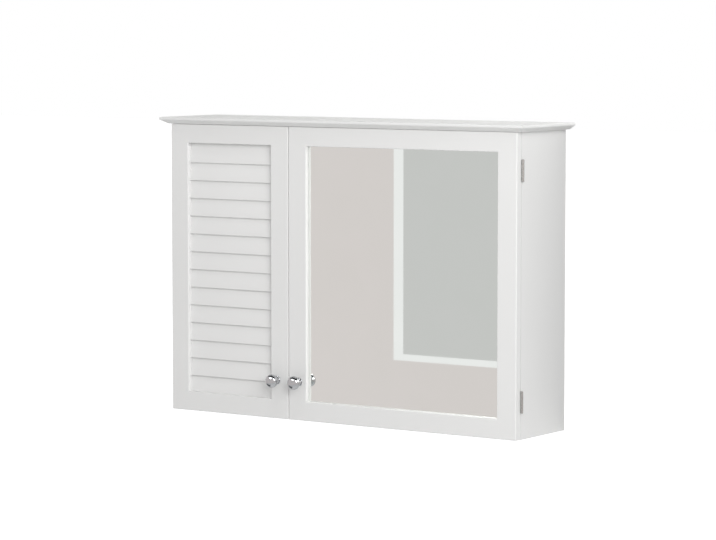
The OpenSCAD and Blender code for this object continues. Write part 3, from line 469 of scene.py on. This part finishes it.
# fasteners: one of each kind is made, then Geometry Nodes set them in their places with a random turn
# a flat head sits flush in a countersink, a round one stands on the surface; head and shank are radii, and
# cross is the recess's span, width and depth; all in millimetres
screwKinds = {
    "sunkScrew": {"flat": True, "head": 2.4, "headHeight": 0.9, "shank": 1.3, "length": 9.0,
                  "pitch": 1.1, "thread": 0.3, "cross": (2.7, 0.75, 0.75)},
    "roundScrew": {"flat": False, "head": 2.4, "headHeight": 1.4, "shank": 1.3, "length": 9.0,
                   "pitch": 1.1, "thread": 0.3, "cross": (2.5, 0.75, 1.1)},
    "machineScrew": {"flat": False, "head": 4.0, "headHeight": 2.4, "shank": 2.0, "length": 24.0,
                     "pitch": 0.7, "thread": 0.2, "cross": (4.2, 1.1, 1.9)},
}
# the recess's foot is a share of its width, the thread's root lies between two shares of the pitch, the last
# ridge stays that many shank radii off the tip, and the flat head's eased edge is in millimetres
screwDetails = {"recessFoot": 0.55, "recessOver": 1.0, "rootFrom": 0.3, "rootTo": 0.6, "ridgesOffTip": 1.5,
                "edge": (0.05, 0.06), "domeSteps": 8, "sides": 32, "smoothTo": 30}


def cutFrom(bm, cutter):
    # takes one closed form out of another
    base = newObject("base", meshFromBmesh("base", bm))
    tool = newObject("tool", meshFromBmesh("tool", cutter))
    cut = base.modifiers.new("cut", "BOOLEAN")
    cut.operation = "DIFFERENCE"
    cut.solver = "EXACT"
    cut.object = tool
    graph = bpy.context.evaluated_depsgraph_get()
    made = bpy.data.meshes.new_from_object(base.evaluated_get(graph), depsgraph=graph)
    bpy.data.objects.remove(base)
    bpy.data.objects.remove(tool)
    return made


def crossCutter(span, width, depth, top):
    # a cross recess that narrows as it goes down
    half = span / 2
    arm = width / 2
    foot = screwDetails["recessFoot"]
    plan = [(half, -arm), (half, arm), (arm, arm), (arm, half), (-arm, half), (-arm, arm),
            (-half, arm), (-half, -arm), (-arm, -arm), (-arm, -half), (arm, -half), (arm, -arm)]
    bm = bmesh.new()
    upper = [bm.verts.new((x * mm, y * mm, (top + screwDetails["recessOver"]) * mm)) for x, y in plan]
    lower = [bm.verts.new((x * foot * mm, y * foot * mm, (top - depth) * mm)) for x, y in plan]
    bm.faces.new(upper)
    bm.faces.new(lower[::-1])
    for i in range(len(plan)):
        j = (i + 1) % len(plan)
        bm.faces.new((lower[i], lower[j], upper[j], upper[i]))
    bmesh.ops.recalc_face_normals(bm, faces=bm.faces[:])
    return bm


def screwMesh(kind):
    head, tall, shank, pitch = (kind[key] for key in ("head", "headHeight", "shank", "pitch"))
    root = shank - kind["thread"]
    end = -kind["length"]
    if kind["flat"]:
        edgeWide, edgeDeep = screwDetails["edge"]
        profile = [(0, 0), (head / 2, 0), (head - edgeWide, 0), (head, -edgeDeep), (shank, -tall)]
        top = 0
        z = -tall
    else:
        ball = (head * head + tall * tall) / (2 * tall)
        reach = math.asin(head / ball)
        steps = screwDetails["domeSteps"]
        turns = [reach * i / steps for i in range(steps + 1)]
        profile = [(ball * math.sin(turn), tall - ball * (1 - math.cos(turn))) for turn in turns]
        profile.append((shank, 0))
        top = tall
        z = 0
    while z - pitch > end + screwDetails["ridgesOffTip"] * shank:  # ridges of the thread
        profile += [(root, z - screwDetails["rootFrom"] * pitch), (root, z - screwDetails["rootTo"] * pitch),
                    (shank, z - pitch)]
        z -= pitch
    profile += [(root, end + shank), (0, end)]
    mesh = cutFrom(turnedBmesh(profile, screwDetails["sides"]), crossCutter(*kind["cross"], top))
    smoothMesh(mesh, screwDetails["smoothTo"])
    return mesh


fastenerTree, fastenerInputs = startTree("fastenerTree", {
    "Fastener": "Object", "Seed": "Int", "Material": "Material"})
facing = addNode(fastenerTree, "GeometryNodeInputNamedAttribute", {"data_type": "FLOAT_VECTOR"}, {
    "Name": "facing"})
aimed = addNode(fastenerTree, "FunctionNodeAlignRotationToVector", {"axis": "Z"}, {
    "Vector": facing.outputs[0]})
spin = addNode(fastenerTree, "FunctionNodeRandomValue", {"data_type": "FLOAT"}, {
    2: 0.0, 3: 2 * math.pi, "Seed": fastenerInputs["Seed"]})
spinAngle = addNode(fastenerTree, "ShaderNodeCombineXYZ", inputs={2: spin.outputs[1]})
spinTurn = addNode(fastenerTree, "FunctionNodeEulerToRotation", inputs={0: spinAngle.outputs[0]})
drivenIn = addNode(fastenerTree, "FunctionNodeRotateRotation", {"rotation_space": "LOCAL"}, {
    0: aimed.outputs[0], 1: spinTurn.outputs[0]})
source = addNode(fastenerTree, "GeometryNodeObjectInfo", inputs={0: fastenerInputs["Fastener"]})
placed = addNode(fastenerTree, "GeometryNodeInstanceOnPoints", inputs={
    "Points": fastenerInputs["Geometry"], "Instance": source.outputs["Geometry"],
    "Rotation": drivenIn.outputs[0]})
endTree(fastenerTree, placed.outputs[0], fastenerInputs["Material"])


def setFasteners(name, sourceMesh, places, seed, material):
    # places: (x, y, z) in millimetres in the cabinet's frame, and the way that each one's head faces
    points = bpy.data.meshes.new(name)
    points.from_pydata([Vector(place) * mm for place, way in places], [], [])
    ways = points.attributes.new("facing", "FLOAT_VECTOR", "POINT")
    for i, (place, way) in enumerate(places):
        ways.data[i].vector = way
    sample = newObject(name + "Sample", sourceMesh)
    piece = runTree(fastenerTree, name, {"Fastener": sample, "Seed": seed, "Material": material}, points)
    bpy.data.objects.remove(sample)
    return piece


def joined(name, pieces):
    # several plain meshes as one piece
    bm = bmesh.new()
    for piece in pieces:
        bm.from_mesh(piece.data)
    mesh = meshFromBmesh(name, bm)
    for material in pieces[0].data.materials:
        mesh.materials.append(material)
    for piece in pieces:
        bpy.data.objects.remove(piece)
    return newObject(name, mesh)


# distances in millimetres from the edges of the pieces that the screws hold; clipRows are shares of a side,
# and seedStep keeps the random turns of the sets apart
screwSpots = {"leafEdge": 6.0, "leafSpread": 11.0, "leafPlay": 0.1, "catchEdge": 16.0, "catchSpread": 12.5,
              "catchEar": 3.0, "strikeSpread": 7.0, "clipInset": 3.75, "clipFoot": 7.5, "clipDrop": 13.5,
              "clipRows": (0.2, 0.8), "seedStep": 10}
toFront = (0, -1, 0)  # the ways that heads face
toBack = (0, 1, 0)
toFloor = (0, 0, -1)
levels = ("_lower", "_upper")


def spanOf(node):
    # lowest, highest and middle point of a CAD piece, in millimetres
    low, high = (Vector(corner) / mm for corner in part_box(node))
    return low, high, (low + high) / 2


doorBack = spanOf("louvre_stile_hinge")[1].y
# the leaves meet halfway between the side's front edge and the door's back
hingeLine = (spanOf("side_panel_right")[0].y + doorBack) / 2


def leafPlaces(node, side, way):
    # two screws in a leaf, heads flush with the face that looks away from its board
    low, high = spanOf("side_panel_" + ("right" if side > 0 else "left"))[:2]
    x = (high.x if side > 0 else low.x) - side * screwSpots["leafEdge"]
    z = spanOf(node)[2].z
    return [((x, hingeLine - way[1] * screwSpots["leafPlay"], z + dz), way)
            for dz in (-screwSpots["leafSpread"], screwSpots["leafSpread"])]


def strikePlaces(node):
    high, middle = spanOf(node)[1:]
    return [((middle.x + dx, high.y, middle.z), toBack)
            for dx in (-screwSpots["strikeSpread"], screwSpots["strikeSpread"])]


def knobPlaces(node):
    middle = spanOf(node)[2]
    return [((middle.x, doorBack, middle.z), toBack)]


def catchPlaces():
    low, high, middle = spanOf("magnetic_catches")
    return [((x + dx, middle.y, high.z - screwSpots["catchEar"]), toFloor)
            for x in (low.x + screwSpots["catchEdge"], high.x - screwSpots["catchEdge"])
            for dx in (-screwSpots["catchSpread"], screwSpots["catchSpread"])]


def clipPlaces():
    low, high = spanOf("backing_clips")[:2]
    inset, foot, drop = (screwSpots[key] for key in ("clipInset", "clipFoot", "clipDrop"))
    places = []
    for share in screwSpots["clipRows"]:
        z = low.z + drop + share * (high.z - low.z - 2 * drop)
        x = low.x + foot + share * (high.x - low.x - 2 * foot)
        places += [(low.x + inset, high.y, z), (high.x - inset, high.y, z)]
        places += [(x, high.y, low.z + inset), (x, high.y, high.z - inset)]
    return [(place, toBack) for place in places]


screwSets = {
    "carcassScrews": ("carcass", "carcass_screws", {
        "sunkScrew": [spot for level in levels for name, side in (("left", -1), ("right", 1))
                      for spot in leafPlaces("side_leaf_" + name + level, side, toFront)],
        "roundScrew": catchPlaces()}),
    "louvreDoorScrews": ("louvre_door", "louvre_screws", {
        "sunkScrew": [spot for level in levels for spot in leafPlaces("louvre_leaf" + level, -1, toBack)]
        + strikePlaces("louvre_strike_plate"),
        "machineScrew": knobPlaces("louvre_knob")}),
    "mirrorDoorScrews": ("mirror_door", "mirror_screws", {
        "sunkScrew": [spot for level in levels for spot in leafPlaces("mirror_leaf" + level, 1, toBack)]
        + strikePlaces("mirror_strike_plate"),
        "roundScrew": clipPlaces(), "machineScrew": knobPlaces("mirror_knob")}),
}
screwMeshes = {name: screwMesh(kind) for name, kind in screwKinds.items()}
for index, (name, (body, node, kinds)) in enumerate(screwSets.items()):
    sets = [setFasteners(name + kind, screwMeshes[kind], places, screwSpots["seedStep"] * index + i,
                         materials["zinc_plated_steel"])
            for i, (kind, places) in enumerate(kinds.items())]
    screws = joined(name, sets)
    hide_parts(node)
    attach(screws, body)
print("screws driven")

# shelf pins: plain steel pins under every corner of the shelves
pinSizes = {"radius": 2.45, "inside": 5.4, "outside": 8.0, "chamfer": 0.6, "ease": 0.2, "inset": 22.0,
            "below": 2.5, "sides": 40, "smoothTo": 30, "seed": 5}
pinRadius, pinOut, pinIn, pinBevel, pinEase = (pinSizes[key] for key in (
    "radius", "outside", "inside", "chamfer", "ease"))
pinProfile = [(0, pinOut), (pinRadius - pinBevel, pinOut), (pinRadius - pinEase, pinOut - pinEase),
              (pinRadius, pinOut - pinBevel), (pinRadius, 0), (pinRadius, -pinIn + pinEase),
              (pinRadius - pinEase, -pinIn), (0, -pinIn)]
pinMesh = meshFromBmesh("pin", turnedBmesh(pinProfile, pinSizes["sides"]))
smoothMesh(pinMesh, pinSizes["smoothTo"])
partition = spanOf("centre_partition")
pinFaces = [(spanOf("side_panel_left")[1].x, 1), (partition[0].x, -1), (partition[1].x, 1),
            (spanOf("side_panel_right")[0].x, -1)]
pinSpots = []
for level in levels:
    low, high = spanOf("shelf_left" + level)[:2]
    pinSpots += [((x, y, low.z - pinSizes["below"]), (way, 0, 0))
                 for y in (low.y + pinSizes["inset"], high.y - pinSizes["inset"]) for x, way in pinFaces]
shelfPins = setFasteners("shelfPins", pinMesh, pinSpots, pinSizes["seed"], materials["zinc_plated_steel"])
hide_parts("shelf_pins")
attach(shelfPins, "carcass")
print("shelf pins set")

# studio: white floor and air, pale walls with a reflector panel for the mirror to look at, two flags, boards
# round the cabinet in place of the wall that it hangs on, those beside it painted dark as painted shade, and
# soft lamps; all in metres
studio = {
    "airLevel": 0.48, "whiteLevel": 1.0,
    "paintRoughness": 0.9, "paintSpecular": 0.2, "floorDrift": 1.5, "wallDrift": 0.8, "boardDrift": 1.0,
    "floorZ": -3.4, "floorSize": 160.0, "floorColour": "#f3f3f3", "floorPatch": "#efefef",
    "floorLight": 0.22, "floorGlow": 0.6,
    "wallColour": "#e4dddc", "wallPatch": "#dfd8d6", "roomHalf": 7.6, "roomTop": 4.0,
    "panelRim": "#fafafa", "panelCloth": "#d2d2d1", "panelSpan": (-4.84, -3.4, -1.43, 0.2),
    "rimWidths": (0.07, 0.035), "rimOffWall": 0.02, "clothOffWall": 0.04,
    # the dark board colour is painted shade: the wall beside the cabinet painted as if it lay in shade
    "boardPale": "#e4e4e3", "boardPaintedShade": "#2c2c2d", "boardWidths": (0.2, 0.9), "boardGap": 0.002,
}
# flags for the gloss, each with its place, size and colour: dark overhead, and grey low on the left
flags = {
    "flagAbove": ((-0.2, -0.85, 1.05), (4.6, 1.3), "#1c1c1d"),
    "flagBelow": ((-1.7, -0.8, -1.5), (2.0, 1.4), "#747476"),
}


def raysSeeing(tree, *kinds):
    # 1 for rays of these kinds, else 0
    path = addNode(tree, "ShaderNodeLightPath").outputs
    seen = path[kinds[0]]
    for kind in kinds[1:]:
        seen = addNode(tree, "ShaderNodeMath", {"operation": "MAXIMUM"}, {0: seen, 1: path[kind]}).outputs[0]
    return seen


# air: its own level lights the cabinet, and what is seen of it is white
world = bpy.data.worlds.new("whiteStudio")
world.use_nodes = True
scene.world = world
worldTree = world.node_tree
air = worldTree.nodes["Background"]
air.inputs["Color"].default_value = (1, 1, 1, 1)
air.inputs["Strength"].default_value = studio["airLevel"]
white = addNode(worldTree, "ShaderNodeBackground", inputs={
    "Color": (1, 1, 1, 1), "Strength": studio["whiteLevel"]})
shown = addNode(worldTree, "ShaderNodeMixShader", inputs={
    0: raysSeeing(worldTree, "Is Camera Ray", "Is Glossy Ray", "Is Transmission Ray"),
    1: air.outputs[0], 2: white.outputs[0]})
worldTree.links.new(shown.outputs[0], worldTree.nodes["World Output"].inputs["Surface"])


def unevenTone(tree, place, colour, patch, scale):
    # a colour that drifts slightly over the surface
    drift = addNode(tree, "ShaderNodeTexNoise", inputs={"Vector": place, "Scale": scale})
    tone = addNode(tree, "ShaderNodeMix", {"data_type": "RGBA"}, {
        0: drift.outputs[0], 6: hexColour(colour), 7: hexColour(patch)})
    return tone.outputs[2]


def mattPaint(name, colour, patch, scale):
    # a matt painted stage surface
    material, tree, shader, place = startMaterial(name, {
        "Roughness": studio["paintRoughness"], "Specular IOR Level": studio["paintSpecular"]})
    tree.links.new(unevenTone(tree, place, colour, patch, scale), shader.inputs["Base Color"])
    return material, tree, shader


def stagePlane(name, width, height, place, turn, material):
    bm = bmesh.new()
    bmesh.ops.create_grid(bm, x_segments=1, y_segments=1, size=0.5)
    bm.transform(Matrix.Translation(place) @ turn @ Matrix.Diagonal((width, height, 1, 1)))
    plane = newObject(name, meshFromBmesh(name, bm))
    plane.data.materials.append(material)
    return plane


# floor: lit from below for the undersides; what the camera sees of it is lifted to white, its shadows stay
floorPaint, floorTree, floorShader = mattPaint(
    "mattFloorPaint", studio["floorColour"], studio["floorPatch"], studio["floorDrift"])
floorLight = addNode(floorTree, "ShaderNodeEmission", inputs={"Strength": studio["floorLight"]})
floorLit = addNode(floorTree, "ShaderNodeAddShader", inputs={
    0: floorShader.outputs[0], 1: floorLight.outputs[0]})
floorGlow = addNode(floorTree, "ShaderNodeEmission", inputs={"Strength": studio["floorGlow"]})
floorLifted = addNode(floorTree, "ShaderNodeAddShader", inputs={
    0: floorLit.outputs[0], 1: floorGlow.outputs[0]})
floorShown = addNode(floorTree, "ShaderNodeMixShader", inputs={
    0: raysSeeing(floorTree, "Is Camera Ray", "Is Transmission Ray"),
    1: floorLit.outputs[0], 2: floorLifted.outputs[0]})
floorTree.links.new(floorShown.outputs[0], floorTree.nodes["Material Output"].inputs["Surface"])
stagePlane("studioFloor", studio["floorSize"], studio["floorSize"], (0, 0, studio["floorZ"]),
           Matrix.Identity(4), floorPaint)


def backdropPaint(name, colour, patch):
    # evenly lit, for the mirror to see
    material, tree, shader, place = startMaterial(name, {})
    tree.nodes.remove(shader)
    tone = unevenTone(tree, place, colour, patch, studio["wallDrift"])
    even = addNode(tree, "ShaderNodeEmission", inputs={"Color": tone, "Strength": studio["whiteLevel"]})
    tree.links.new(even.outputs[0], tree.nodes["Material Output"].inputs["Surface"])
    return material


def backdropPlane(name, width, height, place, turn, material):
    # only metal, glass and gloss see it
    plane = stagePlane(name, width, height, place, turn, material)
    plane.visible_camera = False
    plane.visible_diffuse = False
    plane.visible_shadow = False


# walls in front and on both sides
half = studio["roomHalf"]
roomHeight = studio["roomTop"] - studio["floorZ"]
roomMiddle = (studio["roomTop"] + studio["floorZ"]) / 2
wallPaint = backdropPaint("mattWallPaint", studio["wallColour"], studio["wallPatch"])
for name, place, turn in (("wallFront", (0, -half, roomMiddle), 0),
                          ("wallLeft", (-half, 0, roomMiddle), math.pi / 2),
                          ("wallRight", (half, 0, roomMiddle), -math.pi / 2)):
    backdropPlane(name, 2 * half, roomHeight, place, Matrix.Rotation(turn, 4, "Z") @ upright, wallPaint)
# reflector panel on the front wall: grey cloth in a white rim
panelLow, panelHigh, panelFoot, panelHead = studio["panelSpan"]
rimX, rimZ = studio["rimWidths"]
panelX = (panelLow + panelHigh) / 2
panelZ = (panelFoot + panelHead) / 2
for name, colour, offWall, insetX, insetZ in (
        ("reflectorRim", studio["panelRim"], studio["rimOffWall"], 0, 0),
        ("reflectorCloth", studio["panelCloth"], studio["clothOffWall"], rimX, rimZ)):
    backdropPlane(name, panelHigh - panelLow - 2 * insetX, panelHead - panelFoot - 2 * insetZ,
                  (panelX, offWall - half, panelZ), upright, backdropPaint(name, colour, colour))
for name, (place, (width, length), colour) in flags.items():
    backdropPlane(name, width, length, place, Matrix.Identity(4),
                  backdropPaint(name + "Cloth", colour, colour))

# backing boards round the cabinet's place, in place of the wall that it hangs on: pale above and below, and
# beside it painted dark as painted shade of that wall, which darkens the cabinet's sides towards the back;
# its back stays open to the light, the camera sees no board, and gloss only the pale ones
lowZ = cadBox[0][2]
highX, highY, highZ = cadBox[1]
gap = studio["boardGap"]
sideWidth, levelHeight = studio["boardWidths"]
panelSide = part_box("side_panel_right")[1].x + gap
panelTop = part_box("side_panel_right")[1].z
wideX = 2 * (highX + gap + sideWidth)
tallZ = panelTop - lowZ
middleZ = (panelTop + lowZ) / 2
pale = mattPaint("paleBoardPaint", studio["boardPale"], studio["boardPale"], studio["boardDrift"])[0]
# the boards beside the cabinet take this dark paint as painted shade of the wall next to it, which darkens
# the cabinet's sides towards the back
dark = mattPaint("paintedShadeBoardPaint", studio["boardPaintedShade"], studio["boardPaintedShade"], studio["boardDrift"])[0]
for name, width, height, x, z, paint in (
        ("boardLeft", sideWidth, tallZ, -panelSide - sideWidth / 2, middleZ, dark),
        ("boardRight", sideWidth, tallZ, panelSide + sideWidth / 2, middleZ, dark),
        ("boardAbove", wideX, levelHeight, 0, highZ + gap + levelHeight / 2, pale),
        ("boardBelow", wideX, levelHeight, 0, lowZ - gap - levelHeight / 2, pale)):
    board = stagePlane(name, width, height, (x, highY, z), upright, paint)
    board.visible_camera = False
    board.visible_glossy = paint == pale

# lamps: place, what they aim at, size and power; keySoftbox lights all but the gloss, keySheen and
# sheenSoftbox the gloss alone
lamps = {
    "keySoftbox": {"place": (2.3, -1.9, 0.85), "aim": (0.1, -0.17, -0.25), "size": (1.7, 1.7), "power": 60.0,
                   "gloss": False},
    "keySheen": {"place": (2.3, -1.9, 1.1), "aim": (0.1, -0.17, -0.25), "size": (1.7, 1.7), "power": 68.0,
                 "diffuse": False},
    "topSoftbox": {"place": (0.2, -0.9, 2.3), "aim": (0.0, -0.1, 0.0), "size": (1.2, 0.8), "power": 9.0},
    "sheenSoftbox": {"place": (-1.2, -2.9, 1.0), "aim": (0.0, -0.17, -0.4), "size": (0.6, 0.6), "power": 26.0,
                     "diffuse": False},
}
for name, lampLook in lamps.items():
    lampData = bpy.data.lights.new(name, "AREA")
    lampData.shape = "RECTANGLE"
    lampData.size, lampData.size_y = lampLook["size"]
    lampData.energy = lampLook["power"]
    lamp = newObject(name, lampData)
    lamp.location = lampLook["place"]
    beam = Vector(lampLook["aim"]) - Vector(lampLook["place"])
    lamp.rotation_euler = beam.to_track_quat("-Z", "Y").to_euler()
    lamp.visible_camera = False
    lamp.visible_diffuse = lampLook.get("diffuse", True)
    lamp.visible_glossy = lampLook.get("gloss", True)
print("studio lit")

scene.view_settings.view_transform = "Standard"
